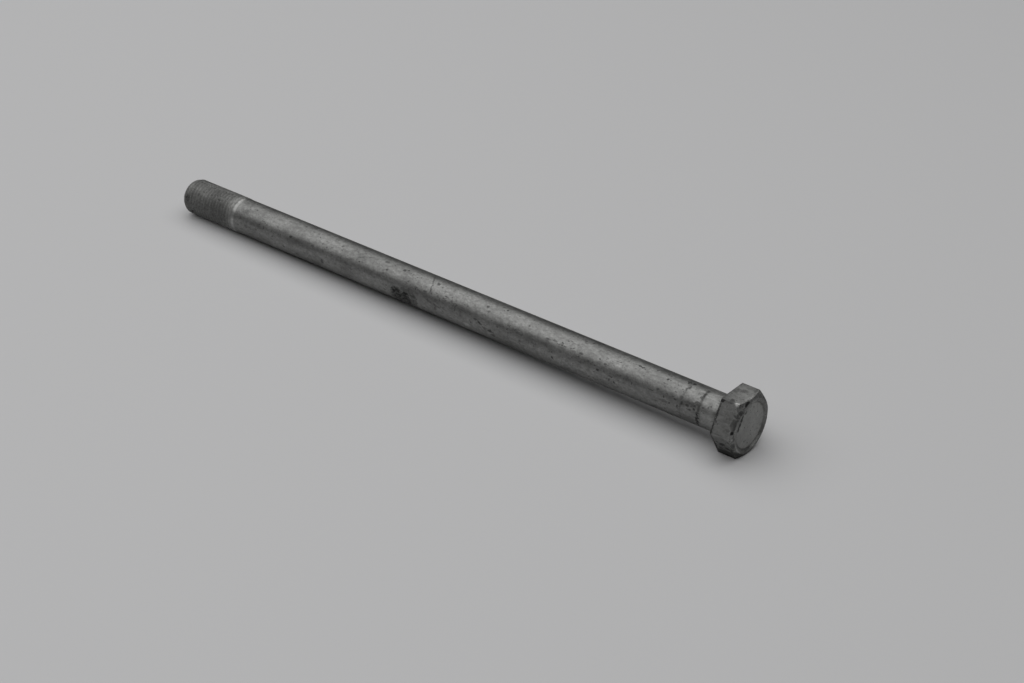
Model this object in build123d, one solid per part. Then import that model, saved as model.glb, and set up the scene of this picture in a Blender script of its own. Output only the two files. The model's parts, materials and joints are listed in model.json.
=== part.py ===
from build123d import *
import math
import os

# A long hexagon head bolt, forged and turned from one piece of steel, lying on its side.
# Millimetres, +Z up. The origin is the centre of the bearing face under the head.
# The bolt's axis is X: the top of the head faces +X and the threaded end points along -X.
# Two of the hexagon's flats face straight up and straight down.

# Shank
bolt_length = 250.0             # from the bearing face to the end of the point
shank_diameter = 13.5
under_head_radius = 0.6         # fillet between the shank and the bearing face

# Threaded end, at its size over the crests
thread_diameter = 13.85
thread_length = 27.0            # from the end of the bolt to the last full crest
run_out_length = 2.0            # bevel from the last crest down to the shank

# Rounded point
point_length = 2.6
point_inset = 2.0               # from the crests in to the edge of the flat end face
point_crown_radius = 4.6        # radius of the rounding between end face and crests

# Head
head_height = 8.8               # from the bearing face to the top
across_flats = 21.0
corner_radius = 0.5             # on the six upright corners of the hexagon
washer_face_height = 0.5        # raised round face that bears on the work
washer_face_inset = 0.7         # from the flats in to the edge of the washer face
chamfer_angle = 30.0            # between the top face and the chamfer on the corners
chamfer_inset = 0.85            # from the flats in to the circle where the chamfer meets the top
rim_edge_radius = 0.4
chamfer_edge_radius = 0.2       # where the chamfer meets the flats
bearing_edge_break = 0.25       # small chamfer round the underside of the hexagon

# Shallow round recess in the top of the head
rim_width = 1.0                 # flat ring between the chamfer and the recess
recess_depth = 0.6
recess_wall_angle = 45.0        # between the recess wall and its floor
recess_edge_radius = 0.25
recess_floor_radius = 0.4


def shank_with_point():
    """The turned shank, the blank of the threaded end and its rounded point."""
    shank_radius = shank_diameter / 2
    thread_radius = thread_diameter / 2
    point_end = -bolt_length
    last_crest = point_end + thread_length
    with BuildPart() as shank:
        with BuildSketch(Plane.XY):
            with BuildLine():
                end_face = Line((point_end, 0), (point_end, thread_radius - point_inset))
                crown = RadiusArc(end_face @ 1, (point_end + point_length, thread_radius), point_crown_radius)
                crests = Line(crown @ 1, (last_crest, thread_radius))
                run_out = Line(crests @ 1, (last_crest + run_out_length, shank_radius))
                side = Line(run_out @ 1, (0, shank_radius))
                root = Line(side @ 1, (0, 0))
                Line(root @ 1, end_face @ 0)
            make_face()
        revolve(axis=Axis.X)
    return shank.part


def corners_at(outline, height):
    """The corners of an outline at one height along the axis, from the axis outwards."""
    return outline.vertices().filter_by_position(Axis.X, height, height).sort_by(Axis.Y)


def head_envelope():
    """The round outline that trims the hexagon: chamfered corners, rim and shallow recess."""
    outer_radius = across_flats
    rim_radius = across_flats / 2 - chamfer_inset
    chamfer_drop = (outer_radius - rim_radius) * math.tan(math.radians(chamfer_angle))
    recess_radius = rim_radius - rim_width
    floor_height = head_height - recess_depth
    floor_radius = recess_radius - recess_depth / math.tan(math.radians(recess_wall_angle))
    with BuildPart() as envelope:
        with BuildSketch(Plane.XY) as outline:
            Polygon(
                (0, 0),
                (0, outer_radius),
                (head_height - chamfer_drop, outer_radius),
                (head_height, rim_radius),
                (head_height, recess_radius),
                (floor_height, floor_radius),
                (floor_height, 0),
                align=None,
            )
            fillet(corners_at(outline, head_height)[0], recess_edge_radius)
            fillet(corners_at(outline, head_height)[-1], rim_edge_radius)
            fillet(corners_at(outline, floor_height)[-1], recess_floor_radius)
        revolve(axis=Axis.X)
    return envelope.part


def hexagon_head():
    """The hexagon on its washer face, trimmed by the round envelope."""
    with BuildPart() as head:
        with BuildSketch(Plane.YZ.offset(washer_face_height)) as hexagon:
            RegularPolygon(across_flats / 2, 6, major_radius=False)
            fillet(hexagon.vertices(), corner_radius)
        extrude(amount=head_height - washer_face_height)
        underside = head.faces().sort_by(Axis.X)[0]
        chamfer(underside.edges(), bearing_edge_break)
        add(head_envelope(), mode=Mode.INTERSECT)
        chamfer_face = head.faces().filter_by(GeomType.CONE).sort_by(SortBy.AREA)[-1]
        chamfer_edges = chamfer_face.edges()
        scallops = chamfer_edges.filter_by(GeomType.HYPERBOLA) + chamfer_edges.filter_by(GeomType.BSPLINE)
        fillet(scallops, chamfer_edge_radius)
        with BuildSketch(Plane.YZ):
            Circle(across_flats / 2 - washer_face_inset)
        extrude(amount=washer_face_height)
    return head.part


def hex_bolt():
    """Head and shank as one solid, with the fillet where they meet."""
    with BuildPart() as bolt:
        add(hexagon_head())
        add(shank_with_point())
        neck = bolt.edges().filter_by(GeomType.CIRCLE).filter_by_position(Axis.X, 0, 0)
        fillet(neck.sort_by(SortBy.RADIUS)[0], under_head_radius)
    return bolt.part


os.makedirs("parts", exist_ok=True)
export_step(hex_bolt(), "parts/hex_bolt.step")
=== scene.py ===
import json
import math

import bmesh
import bpy
from mathutils import Matrix, Quaternion, Vector


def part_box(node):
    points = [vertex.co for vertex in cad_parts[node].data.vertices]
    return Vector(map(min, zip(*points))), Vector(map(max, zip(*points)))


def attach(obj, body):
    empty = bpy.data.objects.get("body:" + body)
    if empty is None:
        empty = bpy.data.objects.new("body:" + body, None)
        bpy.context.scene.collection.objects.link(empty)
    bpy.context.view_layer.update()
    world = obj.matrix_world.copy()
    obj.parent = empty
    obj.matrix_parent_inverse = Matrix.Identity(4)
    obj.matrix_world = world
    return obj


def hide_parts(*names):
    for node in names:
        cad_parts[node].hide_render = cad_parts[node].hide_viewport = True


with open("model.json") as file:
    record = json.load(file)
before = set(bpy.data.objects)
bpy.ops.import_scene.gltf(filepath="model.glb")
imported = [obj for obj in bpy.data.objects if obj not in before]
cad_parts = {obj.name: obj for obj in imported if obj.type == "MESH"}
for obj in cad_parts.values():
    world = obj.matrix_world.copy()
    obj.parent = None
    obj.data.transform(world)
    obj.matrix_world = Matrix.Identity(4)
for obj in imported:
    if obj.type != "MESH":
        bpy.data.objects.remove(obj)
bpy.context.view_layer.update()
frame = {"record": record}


# The threaded end of the bolt. The real thread is rolled into the plain steel blank between two
# dies, so its grooves are pressed in, its crests stand a little over the shank, and the last turn
# fades out before the bevel. It is a fine right-hand thread that also cuts the rounded point.
mm = 0.001
fits = {mount["name"]: mount["dims"] for mount in frame["record"]["mounts"]}
lowest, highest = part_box("hex_bolt")
point_end = lowest.x
crest_radius = fits["thread"]["r_mm"] * mm
point_length = 2.6 * mm
point_inset = 2.0 * mm
point_radius = crest_radius - point_inset
point_crown_radius = 4.6 * mm
last_crest = point_end + point_length + fits["thread"]["length_mm"] * mm
thread_pitch = 1.5 * mm
groove_share = 0.6134
groove_depth = groove_share * thread_pitch
flank_angle = math.radians(30)
crest_width = thread_pitch / 8
flank_width = groove_depth * math.tan(flank_angle)
root_width = thread_pitch - crest_width - 2 * flank_width
crest_rounding = 0.07 * mm
fade_length = 2.2 * thread_pitch
facets_round = 144
join_gap = 0.15 * mm
cut_exactness = 0.0001 * mm
merge_distance = 0.002 * mm
same_place = 0.01 * mm


def start_outline(name, x, radius):
    """A new object that holds one point, at a place along the axis and a distance from it."""
    bpy.ops.object.select_all(action="DESELECT")
    bpy.ops.mesh.primitive_plane_add(size=mm)
    outline = bpy.context.object
    outline.name = name
    bpy.ops.object.mode_set(mode="EDIT")
    bpy.ops.mesh.merge(type="CENTER")
    bpy.ops.transform.translate(value=(x, 0, radius))
    return outline


def draw_to(along, outward):
    """Extends the outline by one straight line, along the axis and away from it."""
    bpy.ops.mesh.extrude_vertices_move(TRANSFORM_OT_translate={"value": (along, 0, outward)})


def select_points(piece, chosen):
    """Selects the points, edges and faces of the piece in edit mode whose place is chosen."""
    bpy.ops.mesh.select_all(action="DESELECT")
    points = bmesh.from_edit_mesh(piece.data)
    for point in points.verts:
        point.select = chosen(point.co)
    points.select_flush(True)
    bmesh.update_edit_mesh(piece.data)


# The outline of one turn, from the middle of a crest to the middle of the next, is wound up from
# two turns before the end of the point. What is too long is cut off further down.
thread_start = point_end - 2 * thread_pitch
thread = start_outline("thread", thread_start, crest_radius)
draw_to(crest_width / 2, 0)
draw_to(flank_width, -groove_depth)
draw_to(root_width, 0)
draw_to(flank_width, groove_depth)
draw_to(crest_width / 2, 0)
outline_ends = (thread_start, thread_start + thread_pitch)
select_points(thread, lambda place: min(abs(place.x - end) for end in outline_ends) > same_place)
bpy.ops.mesh.bevel(offset=crest_rounding, segments=2, affect="VERTICES")
bpy.ops.object.mode_set(mode="OBJECT")
turns = thread.modifiers.new("turns", "SCREW")
turns.axis = "X"
turns.screw_offset = thread_pitch
turns.iterations = math.ceil((last_crest - thread_start) / thread_pitch) + 1
turns.steps = facets_round
turns.render_steps = facets_round
bpy.ops.object.modifier_apply(modifier="turns")

crown_middle = Vector((point_length, crest_radius - point_radius))
crown_reach = math.sqrt(point_crown_radius**2 - crown_middle.length_squared / 4)
crown_centre = crown_middle / 2 + Vector((crown_middle.y, -crown_middle.x)).normalized() * crown_reach


def crown_at(x):
    """The radius of the rounded point at a place along the axis."""
    from_end = min(max(x - point_end, 0), point_length)
    rise = math.sqrt(point_crown_radius**2 - (from_end - crown_centre.x) ** 2)
    return point_radius + crown_centre.y + rise


# The grooves grow smoothly shallower up to the last crest, and the rounded point trims the crests.
for point in thread.data.vertices:
    radius = math.hypot(point.co.y, point.co.z)
    fade = min(max((point.co.x - last_crest + fade_length) / fade_length, 0), 1)
    wanted = radius + (crest_radius - radius) * fade**2 * (3 - 2 * fade)
    wanted = min(wanted, crown_at(point.co.x))
    point.co.y *= wanted / radius
    point.co.z *= wanted / radius

bpy.ops.object.mode_set(mode="EDIT")
bpy.ops.mesh.select_all(action="SELECT")
bpy.ops.mesh.remove_doubles(threshold=merge_distance)
bpy.ops.mesh.bisect(
    plane_co=(last_crest - join_gap, 0, 0),
    plane_no=(1, 0, 0),
    clear_outer=True,
    threshold=cut_exactness,
)
bpy.ops.mesh.select_all(action="SELECT")
bpy.ops.mesh.bisect(
    plane_co=(point_end, 0, 0),
    plane_no=(-1, 0, 0),
    clear_outer=True,
    use_fill=True,
    threshold=cut_exactness,
)
bpy.ops.object.mode_set(mode="OBJECT")


# The shank and the blank of the head. They are one piece of steel with the thread: the shank is
# left as drawn, and the head is forged out of the same bar, round under its washer face and with
# a shallow round recess in its top.
shank_radius = fits["shank"]["r_mm"] * mm
run_out_length = 2.0 * mm
shank_end = last_crest + run_out_length
under_head_radius = 0.6 * mm
head_top = highest.x
half_flats = highest.z
washer_face_height = 0.5 * mm
washer_face_inset = 0.7 * mm
washer_face_radius = half_flats - washer_face_inset
washer_face_rounding = 0.12 * mm
blank_oversize = 1.2
blank_radius = half_flats * blank_oversize
chamfer_inset = 0.85 * mm
chamfer_angle = math.radians(30)
rim_radius = half_flats - chamfer_inset
rim_width = 1.0 * mm
rim_rounding = 0.1 * mm
chamfer_drop = (blank_radius - rim_radius) * math.tan(chamfer_angle)
recess_radius = rim_radius - rim_width
recess_depth = 0.6 * mm
recess_floor_rounding = 0.17 * mm

shank = start_outline("shank", last_crest, crest_radius)
draw_to(run_out_length, shank_radius - crest_radius)
draw_to(-shank_end, 0)
draw_to(0, washer_face_radius - shank_radius)
draw_to(washer_face_height, 0)
draw_to(0, blank_radius - washer_face_radius)
draw_to(head_top - chamfer_drop - washer_face_height, 0)
draw_to(chamfer_drop, rim_radius - blank_radius)
draw_to(0, recess_radius - rim_radius)
draw_to(-recess_depth, -recess_depth)
draw_to(0, recess_depth - recess_radius)


def round_corner(piece, x, radius, offset, segments):
    """Rounds one corner of the outline, found by its place."""
    corner = Vector((x, 0, radius))
    select_points(piece, lambda place: (place - corner).length < same_place)
    bpy.ops.mesh.bevel(offset=offset, segments=segments, affect="VERTICES")


floor_height = head_top - recess_depth
floor_radius = recess_radius - recess_depth
round_corner(shank, 0, shank_radius, under_head_radius, segments=6)
round_corner(shank, 0, washer_face_radius, washer_face_rounding, segments=2)
round_corner(shank, head_top, rim_radius, rim_rounding, segments=3)
round_corner(shank, head_top, recess_radius, rim_rounding, segments=3)
round_corner(shank, floor_height, floor_radius, recess_floor_rounding, segments=3)
bpy.ops.mesh.select_all(action="SELECT")
bpy.ops.mesh.spin(steps=facets_round, angle=math.tau, center=(0, 0, 0), axis=(1, 0, 0))
bpy.ops.mesh.select_all(action="SELECT")
bpy.ops.mesh.remove_doubles(threshold=merge_distance)
bpy.ops.mesh.normals_make_consistent(inside=False)
bpy.ops.object.mode_set(mode="OBJECT")

# The thread and the shank are joined into one closed piece, across a narrow gap.
bolt = shank
bolt.name = "plated_bolt"
bolt.data.name = "plated_bolt"
bpy.ops.object.select_all(action="DESELECT")
thread.select_set(True)
bolt.select_set(True)
bpy.context.view_layer.objects.active = bolt
bpy.ops.object.join()
bpy.ops.object.transform_apply(location=True, rotation=True, scale=True)
bpy.ops.object.mode_set(mode="EDIT")
bpy.ops.mesh.select_mode(type="EDGE")
bpy.ops.mesh.select_all(action="DESELECT")
bpy.ops.mesh.select_non_manifold()
bpy.ops.mesh.bridge_edge_loops()
bpy.ops.mesh.select_mode(type="VERT")


# The six wrench flats. They are pressed into the round blank when the head is forged, with a flat
# level above the axis and one below it. Their corners and edges are worn a little round.
corner_rounding = 0.29 * mm
edge_rounding = 0.25 * mm
edge_angle = math.radians(50)
smooth_angle = math.radians(35)
tiny_edge = 0.001 * mm


def flat_direction(number):
    """The direction that a wrench flat faces."""
    turn = math.radians(90 + 60 * number)
    return Vector((0, math.cos(turn), math.sin(turn)))


for number in range(6):
    facing = flat_direction(number)
    bpy.ops.mesh.select_all(action="SELECT")
    bpy.ops.mesh.bisect(
        plane_co=facing * half_flats,
        plane_no=facing,
        clear_outer=True,
        use_fill=True,
        threshold=cut_exactness,
    )


def select_edges(piece, chosen):
    """Selects the chosen edges of the piece in edit mode."""
    bpy.ops.mesh.select_mode(type="EDGE")
    bpy.ops.mesh.select_all(action="DESELECT")
    points = bmesh.from_edit_mesh(piece.data)
    for edge in points.edges:
        edge.select = chosen(edge)
    bmesh.update_edit_mesh(piece.data)


def flats_touched(point):
    """How many wrench flats a point lies on."""
    distances = [point.co.dot(flat_direction(number)) - half_flats for number in range(6)]
    return sum(abs(distance) < same_place for distance in distances)


def borders_flat(edge):
    """Whether an edge runs between a wrench flat and the chamfer or the underside of the head."""
    on_head = min(point.co.x for point in edge.verts) > washer_face_height - same_place
    return on_head and edge.is_manifold and edge.calc_face_angle() > edge_angle


select_edges(bolt, lambda edge: all(flats_touched(point) == 2 for point in edge.verts))
bpy.ops.mesh.bevel(offset=corner_rounding, segments=4, affect="EDGES")
select_edges(bolt, borders_flat)
bpy.ops.mesh.bevel(offset=edge_rounding, segments=3, affect="EDGES")
bpy.ops.mesh.select_mode(type="VERT")
bpy.ops.mesh.select_all(action="SELECT")
bpy.ops.mesh.remove_doubles(threshold=tiny_edge)
bpy.ops.mesh.normals_make_consistent(inside=False)
bpy.ops.object.mode_set(mode="OBJECT")
bpy.ops.object.shade_smooth_by_angle(angle=smooth_angle)
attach(bolt, "root")
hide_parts("hex_bolt")


# The finish. The steel is zinc plated. The plating has gone dull, cloudy and spotted, and dirt has
# settled on it: in the thread, in rings below the head, on the chamfers of the head and in one big
# stain. A dark band runs along the lower edge of the head. Shade is painted on the lower side of the
# thread, in the neck, at the bottom of the head and in the corner of the recess. Light is painted on the
# thread, the recess floor, the top wrench flat, the rim and corner tips of the head.
# A mark's place is given along the bolt in millimetres and round it in degrees from the seen side.
seen_side = math.radians(143.3)
shank_size = shank_radius / mm
head_size = half_flats / mm
zinc = bpy.data.materials.new("dull_zinc")
zinc.use_nodes = True
zinc_shader = zinc.node_tree.nodes["Principled BSDF"]


def add_node(kind, inputs, **settings):
    """A node of the finish. Each input is a plain value, or the output that feeds it."""
    node = zinc.node_tree.nodes.new(kind)
    for name, value in settings.items():
        setattr(node, name, value)
    for socket, value in inputs.items():
        if isinstance(value, bpy.types.NodeSocket):
            zinc.node_tree.links.new(value, node.inputs[socket])
        else:
            node.inputs[socket].default_value = value
    return node


def work_out(operation, *values):
    """A sum, a product or other work with numbers."""
    return add_node("ShaderNodeMath", dict(enumerate(values)), operation=operation).outputs[0]


def times(*amounts):
    """The product of several amounts."""
    result = amounts[0]
    for amount in amounts[1:]:
        result = work_out("MULTIPLY", result, amount)
    return result


def largest(*amounts):
    """The largest of several amounts."""
    result = amounts[0]
    for amount in amounts[1:]:
        result = work_out("MAXIMUM", result, amount)
    return result


def ease(value, start, end, at_start=0.0, at_end=1.0):
    """Goes smoothly from one amount to another while a value runs from start to end."""
    inputs = {"Value": value, "From Min": start, "From Max": end, "To Min": at_start, "To Max": at_end}
    return add_node("ShaderNodeMapRange", inputs, interpolation_type="SMOOTHSTEP").outputs[0]


def band(value, start, end, soft):
    """One where a value is between start and end, and nothing elsewhere, with soft borders."""
    rise = ease(value, start - soft, start + soft)
    fall = ease(value, end - soft, end + soft, at_start=1.0, at_end=0.0)
    return times(rise, fall)


def clouds(length, width, detail=3.0, output=0):
    """Cloudy noise around a half, in clouds of some length along the bolt and some width across it."""
    inputs = {"Vector": place, "Scale": (1 / length, 1 / width, 1 / width)}
    stretched = add_node("ShaderNodeMapping", inputs).outputs[0]
    inputs = {"Vector": stretched, "Scale": 1.0, "Detail": detail, "Roughness": 0.6}
    return add_node("ShaderNodeTexNoise", inputs).outputs[output]


def unrolled(first, size, raggedness):
    """A surface rolled out flat, in millimetres, with some raggedness that the marks on it take on."""
    raggedness_round = 0.7 * raggedness
    flat = add_node("ShaderNodeCombineXYZ", {0: first, 1: times(turn, size)}).outputs[0]
    centred = add_node("ShaderNodeVectorMath", {0: ragged, 1: (0.5, 0.5, 0.5)}, operation="SUBTRACT")
    inputs = {0: centred.outputs[0], 1: (raggedness, raggedness_round, 0.0), 2: flat}
    return add_node("ShaderNodeVectorMath", inputs, operation="MULTIPLY_ADD").outputs[0]


mark_core = 0.65
mark_border = 1.25


def mark(surface, middle, half_length, half_width, depth):
    """A soft oval mark on a rolled out surface."""
    inputs = {
        0: surface,
        1: (1 / half_length, 1 / half_width, 0),
        2: (-middle.x / half_length, -middle.y / half_width, 0),
    }
    oval = add_node("ShaderNodeVectorMath", inputs, operation="MULTIPLY_ADD").outputs[0]
    from_middle = add_node("ShaderNodeVectorMath", {0: oval}, operation="LENGTH").outputs["Value"]
    return ease(from_middle, mark_core, mark_border, at_start=depth, at_end=0.0)


def marked(surface, size, marks):
    """The deepest of all the marks on a rolled out surface, which is turned for those that lean."""
    deepest = 0.0
    for lean, group in marks.items():
        turning = Matrix.Rotation(-math.radians(lean), 2)
        inputs = {"Vector": surface, "Angle": -math.radians(lean)}
        turned = add_node("ShaderNodeVectorRotate", inputs, rotation_type="Z_AXIS").outputs[0]
        for at, degrees, half_length, half_width, depth in group:
            middle = turning @ Vector((at, math.radians(degrees) * size))
            deepest = largest(deepest, mark(turned, middle, half_length, half_width, depth))
    return deepest


object_place = add_node("ShaderNodeTexCoord", {}).outputs["Object"]
inputs = {"Vector": object_place, "Rotation": (-seen_side, 0, 0), "Scale": (1 / mm, 1 / mm, 1 / mm)}
place = add_node("ShaderNodeMapping", inputs).outputs[0]
axes = add_node("ShaderNodeSeparateXYZ", {0: place}).outputs
along = axes["X"]
turn = work_out("ARCTAN2", axes["Z"], axes["Y"])
across = add_node("ShaderNodeCombineXYZ", {1: axes["Y"], 2: axes["Z"]}).outputs[0]
from_axis = add_node("ShaderNodeVectorMath", {0: across}, operation="LENGTH").outputs["Value"]
ragged = clouds(1.5, 0.9, output="Color")
shank_mark_surface = unrolled(along, shank_size, raggedness=3.2)
spot_surface = unrolled(along, shank_size, raggedness=1.3)
head_surface = unrolled(along, head_size, raggedness=1.6)
top_surface = unrolled(from_axis, head_size, raggedness=1.2)
ragged_step = work_out("SUBTRACT", add_node("ShaderNodeSeparateXYZ", {0: ragged}).outputs["X"], 0.5)
ragged_along = work_out("ADD", ragged_step, along)
patches = ease(clouds(7.0, 2.5), 0.42, 0.62)

# The stains and streaks on the shank, by their lean in degrees. Each has its place along the bolt, its
# degrees round it, half its length, half its width, and its depth. The long faint one is painted shade
# on the lower side of the thread.
shank_stains_and_shade = {
    0: [
        (-247.0, 20, 1.2, 1.6, 0.70),
        # Painted shade on the lower side of the thread.
        (-236.5, 45, 14.0, 6.4, 0.30),
        (-242.5, 30, 1.0, 0.5, 0.30),
        (-218.0, -46, 3.4, 1.2, 0.22),
        (-217.0, -15, 2.0, 0.9, 0.25),
        (-213.5, 33, 2.0, 0.6, 0.25),
        (-205.0, 55, 2.5, 0.9, 0.20),
        (-164.0, 15, 1.0, 0.4, 0.55),
        (-138.4, 62, 3.2, 4.2, 0.95),
        (-134.6, 62, 2.9, 3.4, 0.95),
        (-139.4, 37, 2.3, 1.5, 0.95),
        (-134.7, 38, 1.7, 1.3, 0.95),
        (-135.4, 25, 2.0, 0.9, 0.50),
        (-132.6, 21, 1.8, 1.0, 0.55),
        (-131.4, 35, 1.4, 1.1, 0.60),
        (-130.6, 60, 1.5, 2.4, 0.65),
        (-121.5, 14, 3.0, 0.7, 0.30),
        (-120.2, 33, 1.6, 0.4, 0.50),
        (-112.5, 9, 1.0, 0.8, 0.75),
        (-104.3, 38, 0.5, 1.0, 0.55),
        (-95.3, 41, 1.6, 0.45, 0.70),
        (-94.5, 53, 1.0, 0.5, 0.60),
        (-84.2, 8, 1.5, 0.9, 0.65),
        (-58.4, -49, 1.1, 0.5, 0.60),
        (-56.2, 20, 1.3, 0.4, 0.45),
        (-43.0, 8, 1.2, 0.5, 0.40),
        (-34.0, -38, 1.3, 0.35, 0.70),
        (-27.3, 14, 1.0, 0.4, 0.80),
        (-22.0, 31, 1.8, 0.5, 0.40),
        (-15.8, -53, 0.5, 1.3, 0.80),
        (-8.7, 3, 1.2, 0.8, 0.60),
        (-8.0, 46, 0.6, 3.3, 0.95),
        (-8.3, -20, 0.5, 1.3, 0.60),
    ],
    -60: [
        (-120.4, 42, 0.6, 0.7, 0.50),
    ],
    -15: [
        (-158.5, -20, 1.6, 0.35, 0.40),
        (-117.8, -22, 1.2, 0.4, 0.30),
    ],
    15: [
        (-135.0, 1, 1.2, 0.5, 0.35),
        (-122.9, -35, 0.7, 0.6, 0.70),
        (-123.5, 27, 1.8, 0.5, 0.45),
        (-100.2, 30, 1.0, 0.5, 0.70),
        (-76.0, 22, 1.4, 0.4, 0.35),
        (-10.6, 10, 1.9, 1.0, 0.60),
    ],
    30: [
        (-134.5, -33, 0.5, 0.6, 0.35),
        (-98.2, 38, 1.0, 0.4, 0.50),
        (-61.8, -26, 1.1, 0.2, 0.35),
        (-57.6, -41, 0.8, 0.3, 0.45),
    ],
    45: [
        (-127.1, -59, 1.7, 0.28, 0.55),
        (-113.8, 0, 0.7, 0.6, 0.45),
        (-104.0, -59, 2.6, 0.4, 0.30),
    ],
    58: [
        (-125.7, -41, 1.6, 0.34, 0.65),
        (-124.1, -5, 1.0, 0.28, 0.50),
        (-122.5, -58, 1.5, 1.3, 0.30),
    ],
    80: [
        (-124.7, -21, 1.6, 0.28, 0.60),
    ],
}
# The small spots on the shank, in the same way.
shank_spots = {
    0: [
        (-245.0, 65, 0.6, 0.6, 0.80),
        (-240.5, 8, 0.6, 0.4, 0.30),
        (-234.0, -40, 0.6, 0.8, 0.30),
        (-219.0, 37, 0.5, 0.4, 0.45),
        (-218.0, 13, 0.5, 0.4, 0.50),
        (-206.0, 12, 0.5, 0.4, 0.50),
        (-192.0, 6, 0.8, 0.5, 0.75),
        (-188.5, 58, 0.9, 0.5, 0.25),
        (-181.0, 7, 0.7, 0.4, 0.40),
        (-175.5, 43, 0.7, 0.9, 0.60),
        (-171.0, 10, 0.6, 0.4, 0.40),
        (-168.5, -30, 0.6, 0.5, 0.40),
        (-147.5, -40, 0.9, 0.5, 0.40),
        (-146.5, 0, 0.5, 0.4, 0.35),
        (-145.5, -14, 0.6, 0.5, 0.50),
        (-138.8, -35, 0.7, 0.5, 0.55),
        (-137.4, -40, 0.5, 0.4, 0.55),
        (-126.3, 2, 0.8, 0.4, 0.60),
        (-111.8, 20, 0.3, 0.6, 0.50),
        (-102.3, 23, 0.9, 0.4, 0.60),
        (-99.5, -28, 0.6, 0.5, 0.45),
        (-98.0, -15, 0.6, 0.5, 0.40),
        (-92.5, 18, 0.5, 0.4, 0.45),
        (-92.0, -43, 0.5, 0.4, 0.75),
        (-82.3, 33, 0.6, 0.5, 0.45),
        (-82.2, 12, 0.8, 0.4, 0.50),
        (-80.5, -22, 0.4, 0.4, 0.50),
        (-71.5, -7, 0.9, 0.3, 0.45),
        (-68.5, -10, 0.9, 0.3, 0.40),
        (-68.0, 42, 0.5, 0.5, 0.75),
        (-65.0, 15, 0.8, 0.4, 0.30),
        (-57.0, -5, 0.9, 0.35, 0.45),
        (-55.3, -54, 0.5, 0.5, 0.65),
        (-49.0, 21, 0.7, 0.4, 0.75),
        (-46.7, -3, 0.6, 0.4, 0.45),
        (-43.9, 37, 0.4, 0.6, 0.45),
        (-43.6, 25, 0.6, 0.3, 0.40),
        (-41.6, 38, 0.4, 0.5, 0.75),
        (-34.8, 19, 0.3, 0.5, 0.55),
        (-24.5, 5, 0.6, 0.4, 0.60),
        (-23.0, -33, 0.5, 0.4, 0.75),
        (-21.7, 19, 0.4, 0.4, 0.75),
        (-21.0, 57, 0.3, 0.6, 0.40),
        (-20.7, 8, 0.6, 0.35, 0.55),
        (-19.2, 30, 0.5, 0.4, 0.60),
        (-18.2, 8, 0.6, 0.35, 0.55),
        (-17.2, 13, 0.5, 0.4, 0.70),
        (-16.0, 29, 0.4, 0.6, 0.70),
        (-15.2, 2, 0.8, 0.8, 0.45),
        (-14.6, 15, 0.5, 0.8, 0.75),
        (-14.3, -35, 0.4, 0.8, 0.55),
        (-14.0, -56, 0.8, 0.6, 0.85),
        (-12.3, 16, 0.8, 0.5, 0.75),
        (-11.2, 26, 0.5, 0.4, 0.70),
        (-9.6, 9, 0.5, 0.5, 0.80),
        (-9.5, 20, 0.4, 0.4, 0.75),
        (-6.5, 5, 0.5, 0.4, 0.50),
    ],
}
# The marks on the wrench flats, in the same way.
head_marks = {
    0: [
        (1.2, -58, 1.8, 1.8, 0.55),
        (4.2, -26, 0.8, 0.8, 0.65),
        (3.2, -23, 2.6, 0.6, 0.45),
        (0.8, -38, 0.5, 0.6, 0.60),
        (1.2, -20, 0.9, 0.6, 0.92),
        (1.0, 2, 0.35, 3.6, 0.85),
        (1.3, 17, 0.6, 0.6, 0.70),
        (1.0, 30, 0.35, 2.4, 0.85),
        (0.9, 52, 0.4, 2.4, 0.60),
        (1.0, 75, 0.5, 2.8, 0.85),
        (7.2, -5, 0.5, 0.2, 0.55),
        (7.8, -4, 1.0, 0.4, 0.65),
        (7.6, -16, 0.6, 0.9, 0.55),
        (7.7, 12, 0.9, 1.9, 0.58),
        (6.4, 24, 0.8, 0.5, 0.45),
        (8.1, 25, 0.45, 0.6, 0.85),
        (7.4, 46, 0.5, 0.6, 0.50),
        (8.2, 53, 0.5, 0.9, 0.50),
        (2.4, 58, 0.5, 0.5, 0.50),
        (6.0, 70, 1.0, 0.8, 0.75),
        (2.8, 76, 0.9, 0.5, 0.60),
        (7.4, 78, 0.7, 2.6, 0.70),
        (5.0, 84, 0.6, 0.4, 0.70),
        # The next two are painted shade at the bottom of the head, where it lies on the table.
        (4.5, 90, 4.5, 2.2, 0.80),
        (4.5, 97, 4.5, 1.5, 0.97),
    ],
    -30: [
        (4.0, -63, 1.6, 0.9, 0.58),
        (4.2, 61, 1.5, 0.8, 0.80),
    ],
    70: [
        (7.0, -77, 1.7, 0.5, 0.50),
    ],
}
# The marks on the end of the head, each with its distance from the axis in place of the first number.
top_marks = {
    0: [
        # The next five are dirt and painted shade in the corner of the recess.
        (6.9, -27, 0.5, 1.3, 0.60),
        (7.2, -10, 0.6, 1.3, 0.85),
        (6.9, -3, 0.7, 1.3, 0.85),
        (6.8, 11, 0.7, 1.4, 0.85),
        (7.1, 23, 0.7, 1.6, 0.85),
        (8.6, -8, 0.2, 4.2, 0.55),
        (10.2, -36, 0.5, 1.6, 0.97),
        (10.2, -14, 0.8, 1.0, 0.75),
        (9.2, -17, 0.3, 0.5, 0.70),
        (11.0, -5, 0.8, 0.9, 0.70),
        (10.6, 13, 0.6, 2.2, 0.70),
        (10.9, 26, 0.6, 0.8, 0.97),
        (10.0, 40, 0.4, 0.8, 0.50),
        (10.2, 57, 0.6, 1.0, 0.60),
        # The next two are painted shade low on the chamfer, where the head lies on the table.
        (10.6, 92, 0.8, 3.6, 0.75),
        (10.2, 130, 0.6, 2.6, 0.45),
    ],
}
stains_and_shade = marked(shank_mark_surface, shank_size, shank_stains_and_shade)
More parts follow.
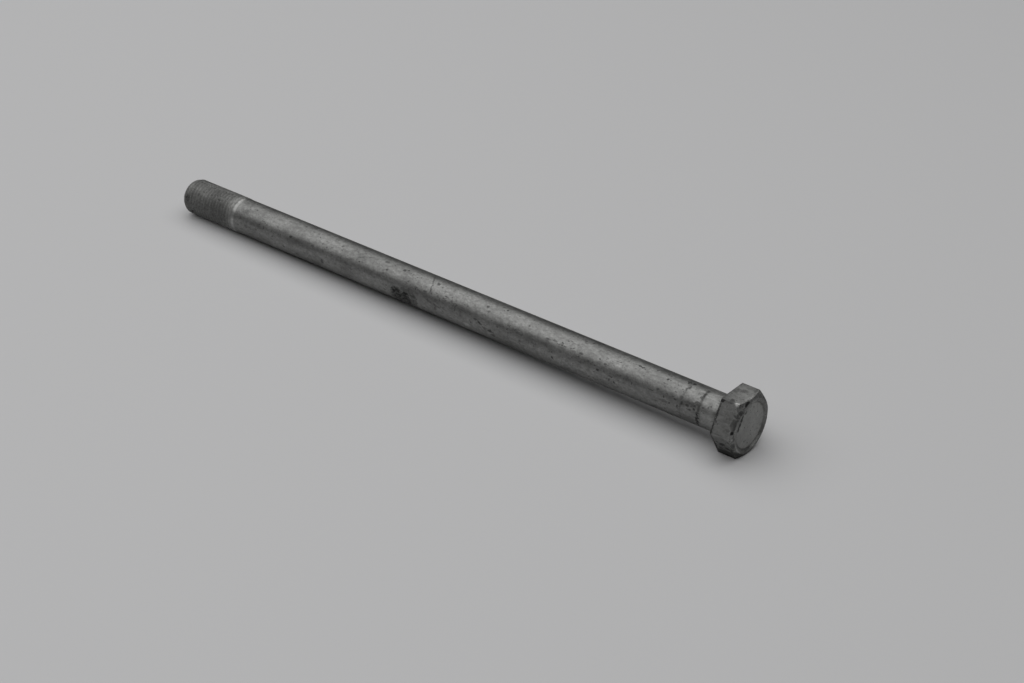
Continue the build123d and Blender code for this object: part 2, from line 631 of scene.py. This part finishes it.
stains_and_shade = times(stains_and_shade, ease(clouds(1.0, 0.8, 2.0), 0.38, 0.58, at_start=0.6))
spots = marked(spot_surface, shank_size, shank_spots)
on_top = ease(along, 7.6, 7.9)
on_head = times(ease(along, 0.3, 0.5), ease(from_axis, 9.6, 9.9))
head_stains_and_shade = marked(head_surface, head_size, head_marks)
top_stains_and_shade = marked(top_surface, head_size, top_marks)
stains_and_shade = times(largest(stains_and_shade, spots), ease(along, 0.5, 0.3))
head_stains_and_shade = times(head_stains_and_shade, on_head)
top_stains_and_shade = times(top_stains_and_shade, on_top)

# Dirt and painted shade that run all the way round: dirt in the thread and in two rings, painted shade
# in the neck under the head, a dark band along the lower edge of the head, dirt on the chamfers of its
# corners, dirt and painted shade in the corner of its recess, and specks all over the bolt.
crest_size = crest_radius / mm
last_crest_at = last_crest / mm
thread_start_at = point_end / mm + 1.0
near_ring_at = (-8.5, -7.5)
far_ring_at = (-15.2, -14.6)
neck_at = (-0.9, 0.3)
under_head_at = (0.45, 1.1)
recess_corner_at = (7.9, 8.4)
softness = 0.3
groove_dirt = 0.05
neck_shade_depth = 0.6
corner_dirt_depth = 0.6
recess_dirt_and_shade_depth = 0.12
speck_depth = 0.7


def in_patches(least, most):
    """Goes from one amount to another where the cloudy patches are."""
    return ease(patches, 0.0, 1.0, at_start=least, at_end=most)


on_thread = band(along, thread_start_at, last_crest_at, 0.4)
in_grooves = ease(from_axis, crest_size - 0.3, crest_size - 0.8, at_end=groove_dirt)
in_grooves = times(in_grooves, on_thread)
near_ring = times(band(ragged_along, *near_ring_at, softness), in_patches(least=0.25, most=0.7))
far_ring = times(band(ragged_along, *far_ring_at, softness), in_patches(least=0.1, most=0.5))
# Painted shade in the neck, under the head.
neck_shade = times(band(ragged_along, *neck_at, softness), neck_shade_depth)
under_head = times(band(ragged_along, *under_head_at, softness), in_patches(least=0.3, most=0.7))
corner_dirt = times(on_top, ease(from_axis, 9.7, 10.1))
corner_dirt = times(corner_dirt, ease(clouds(1.2, 1.0), 0.45, 0.62, at_end=corner_dirt_depth))
# Dirt and painted shade in the corner of the recess.
recess_dirt_and_shade = times(on_top, band(from_axis, *recess_corner_at, softness), recess_dirt_and_shade_depth)
specks = times(ease(clouds(1.1, 0.8, 2.0), 0.6, 0.66, at_end=speck_depth), patches)
dirt_and_shade = largest(
    stains_and_shade,
    head_stains_and_shade,
    top_stains_and_shade,
    in_grooves,
    near_ring,
    far_ring,
    neck_shade,
    under_head,
    corner_dirt,
    recess_dirt_and_shade,
    specks,
)

# The bright places: painted light on the whole thread against the shade of its grooves, and a painted
# highlight along its upper side, the bevel behind it, a belt under the head, painted light on the floor
# of the recess, painted highlights on its worn rim and on corner tips of the chamfer, painted light on
# the top wrench flat, a painted highlight on the worn tip of one corner of the head, and one lighter
# patch on the shank.
thread_painted_light = 0.25
bevel_brightness = 0.6
belt_brightness = 0.18
painted_floor_lift = 0.45
# Painted highlights on the worn rim round the recess and on corner tips of the chamfer.
rim_highlight_marks = {
    0: [
        (9.5, 75, 0.3, 3.2, 0.70),
        (8.5, 150, 0.35, 4.0, 0.90),
        (10.8, -23, 1.0, 1.8, 0.55),
        (10.9, -83, 1.0, 1.6, 0.35),
    ],
}
# Painted light on the top wrench flat, and a painted highlight on the worn tip of one corner.
flat_light_marks = {
    0: [
        (4.5, -53, 6.0, 5.0, 0.32),
        (6.5, -23, 0.9, 0.7, 1.00),
    ],
}
# One lighter patch on the shank, and a painted highlight along the upper side of the thread.
shank_marks = {
    0: [
        (-106.2, 55, 1.5, 0.8, 0.35),
        # Painted highlight along the upper side of the thread.
        (-236.5, -68, 13.0, 1.5, 0.60),
    ],
}
bevel = times(band(along, last_crest_at + 0.2, last_crest_at + 1.4, 0.25), bevel_brightness)
belt = times(band(ragged_along, -6.6, -2.2, 0.5), belt_brightness)
# Painted light on the recess floor.
painted_floor_light = times(on_top, ease(from_axis, 8.3, 7.7, at_end=painted_floor_lift))
# Painted highlights on the worn rim and corner tips.
worn_rim_highlights = times(marked(top_surface, head_size, rim_highlight_marks), on_top)
# Painted light on the top flat and a painted highlight on one corner tip.
painted_flat_light = times(marked(head_surface, head_size, flat_light_marks), on_head)
# A lighter patch, and a painted highlight along the thread's upper side.
patch_and_thread_highlight = marked(shank_mark_surface, shank_size, shank_marks)
# Painted light on the whole thread, against the shade of its grooves.
painted_thread_light = times(on_thread, thread_painted_light)
bright = largest(painted_thread_light, bevel, belt, painted_floor_light, worn_rim_highlights, painted_flat_light, patch_and_thread_highlight)

# The zinc itself, uneven in three sizes of cloud, but calm on the recess floor. Each has its length, its
# width, its detail and its contrast. Dirt and painted shade are darker than zinc, duller and less like
# metal.
zinc_clouds = (
    (14.0, 6.0, 1.0, 0.8),
    (2.0, 1.2, 4.0, 1.15),
    (0.8, 0.6, 2.0, 0.7),
)
floor_calm = 1.1
darkness_of_dirt_and_shade = 0.94
covering_of_dirt_and_shade = 0.8
dullness_of_dirt_and_shade = 0.25
dirt_gloss = 0.15
thread_dullness = 0.2
zinc_grey = (0.227, 0.228, 0.222)
edge_grey = (0.45, 0.45, 0.45, 1)
zinc_roughness = 0.465
roughness_range = 0.2
bump_height = 0.03 * mm

tone = work_out("ADD", bright, 1.0)
calm = work_out("MULTIPLY_ADD", painted_floor_light, -floor_calm, 1.0)
for length, width, detail, contrast in zinc_clouds:
    uneven = times(work_out("SUBTRACT", clouds(length, width, detail), 0.5), calm)
    tone = times(tone, work_out("MULTIPLY_ADD", uneven, contrast, 1.0))
tone = times(tone, work_out("MULTIPLY_ADD", dirt_and_shade, -darkness_of_dirt_and_shade, 1.0))
grey = add_node("ShaderNodeVectorMath", {0: zinc_grey, "Scale": tone}, operation="SCALE")
smoothest = zinc_roughness - roughness_range / 2
rough = work_out("MULTIPLY_ADD", clouds(2.2, 1.4), roughness_range, smoothest)
rough = work_out("MULTIPLY_ADD", dirt_and_shade, dullness_of_dirt_and_shade, rough)
rough = work_out("MULTIPLY_ADD", on_thread, thread_dullness, rough)
bumps = add_node("ShaderNodeBump", {"Distance": bump_height, "Height": clouds(1.6, 1.0)})
zinc_inputs = {
    "Base Color": grey.outputs[0],
    "Metallic": work_out("MULTIPLY_ADD", dirt_and_shade, -covering_of_dirt_and_shade, 1.0),
    "Roughness": rough,
    "Normal": bumps.outputs[0],
}
for socket, source in zinc_inputs.items():
    zinc.node_tree.links.new(source, zinc_shader.inputs[socket])
zinc_shader.inputs["Specular Tint"].default_value = edge_grey
zinc_shader.inputs["Specular IOR Level"].default_value = dirt_gloss
bolt.data.materials.clear()
bolt.data.materials.append(zinc)


# The table, plain and pale. The bolt can't stand, so it lies there: on the edge of the lowest wrench
# flat and on the first full crest behind its point. The head is wider, so it leans by under one degree.
table_size = 12.0
table_grey = (0.555, 0.555, 0.56, 1)
table_roughness = 0.7
head_contact = Vector((washer_face_height + edge_rounding, 0, -half_flats))
thread_contact = Vector((point_end + point_length, 0, -crest_radius))
lean = math.atan2(thread_contact.z - head_contact.z, head_contact.x - thread_contact.x)
middle = (head_contact + thread_contact) / 2
bpy.ops.object.select_all(action="DESELECT")
bpy.ops.mesh.primitive_plane_add(size=table_size, location=middle, rotation=(0, lean, 0))
table = bpy.context.object
table.name = "table"
bpy.ops.object.transform_apply(location=True, rotation=True, scale=True)
pale = bpy.data.materials.new("pale_table")
pale.use_nodes = True
pale_shader = pale.node_tree.nodes["Principled BSDF"]
pale_shader.inputs["Base Color"].default_value = table_grey
pale_shader.inputs["Roughness"].default_value = table_roughness
table.data.materials.append(pale)


# The light is one large soft lamp overhead, off to the side of the thread, in a dim grey room.
lamp_size = 3.2
lamp_place = Vector((-0.6, -0.22, 1.4))
lamp_brightness = 1.27
room_brightness = 0.035
bpy.ops.object.light_add(type="AREA", location=lamp_place)
lamp = bpy.context.object
lamp.name = "overhead_lamp"
lamp.data.size = lamp_size
lamp.data.energy = lamp_brightness * math.pi * lamp_size**2
room = bpy.data.worlds.new("room")
room.use_nodes = True
room_light = room.node_tree.nodes["Background"]
room_light.inputs["Color"].default_value = (1, 1, 1, 1)
room_light.inputs["Strength"].default_value = room_brightness
bpy.context.scene.world = room
bpy.context.scene.view_settings.view_transform = "Standard"


# The camera looks down on the bolt from the side of its head, with a long lens.
aim = Vector((-95.6, 5.99, -10.5)) * mm
distance = 762.5 * mm
azimuth = math.radians(38.26)
elevation = math.radians(30.49)
roll = math.radians(0.973)
sensor_width = 36
lens_length = 75.4
away = Vector(
    (
        math.sin(azimuth) * math.cos(elevation),
        -math.cos(azimuth) * math.cos(elevation),
        math.sin(elevation),
    )
)
bpy.ops.object.camera_add(location=aim + distance * away)
camera = bpy.context.object
camera.rotation_mode = "QUATERNION"
camera.rotation_quaternion = away.to_track_quat("Z", "Y") @ Quaternion((0, 0, 1), roll)
camera.data.sensor_width = sensor_width
camera.data.lens = lens_length
bpy.context.scene.camera = camera
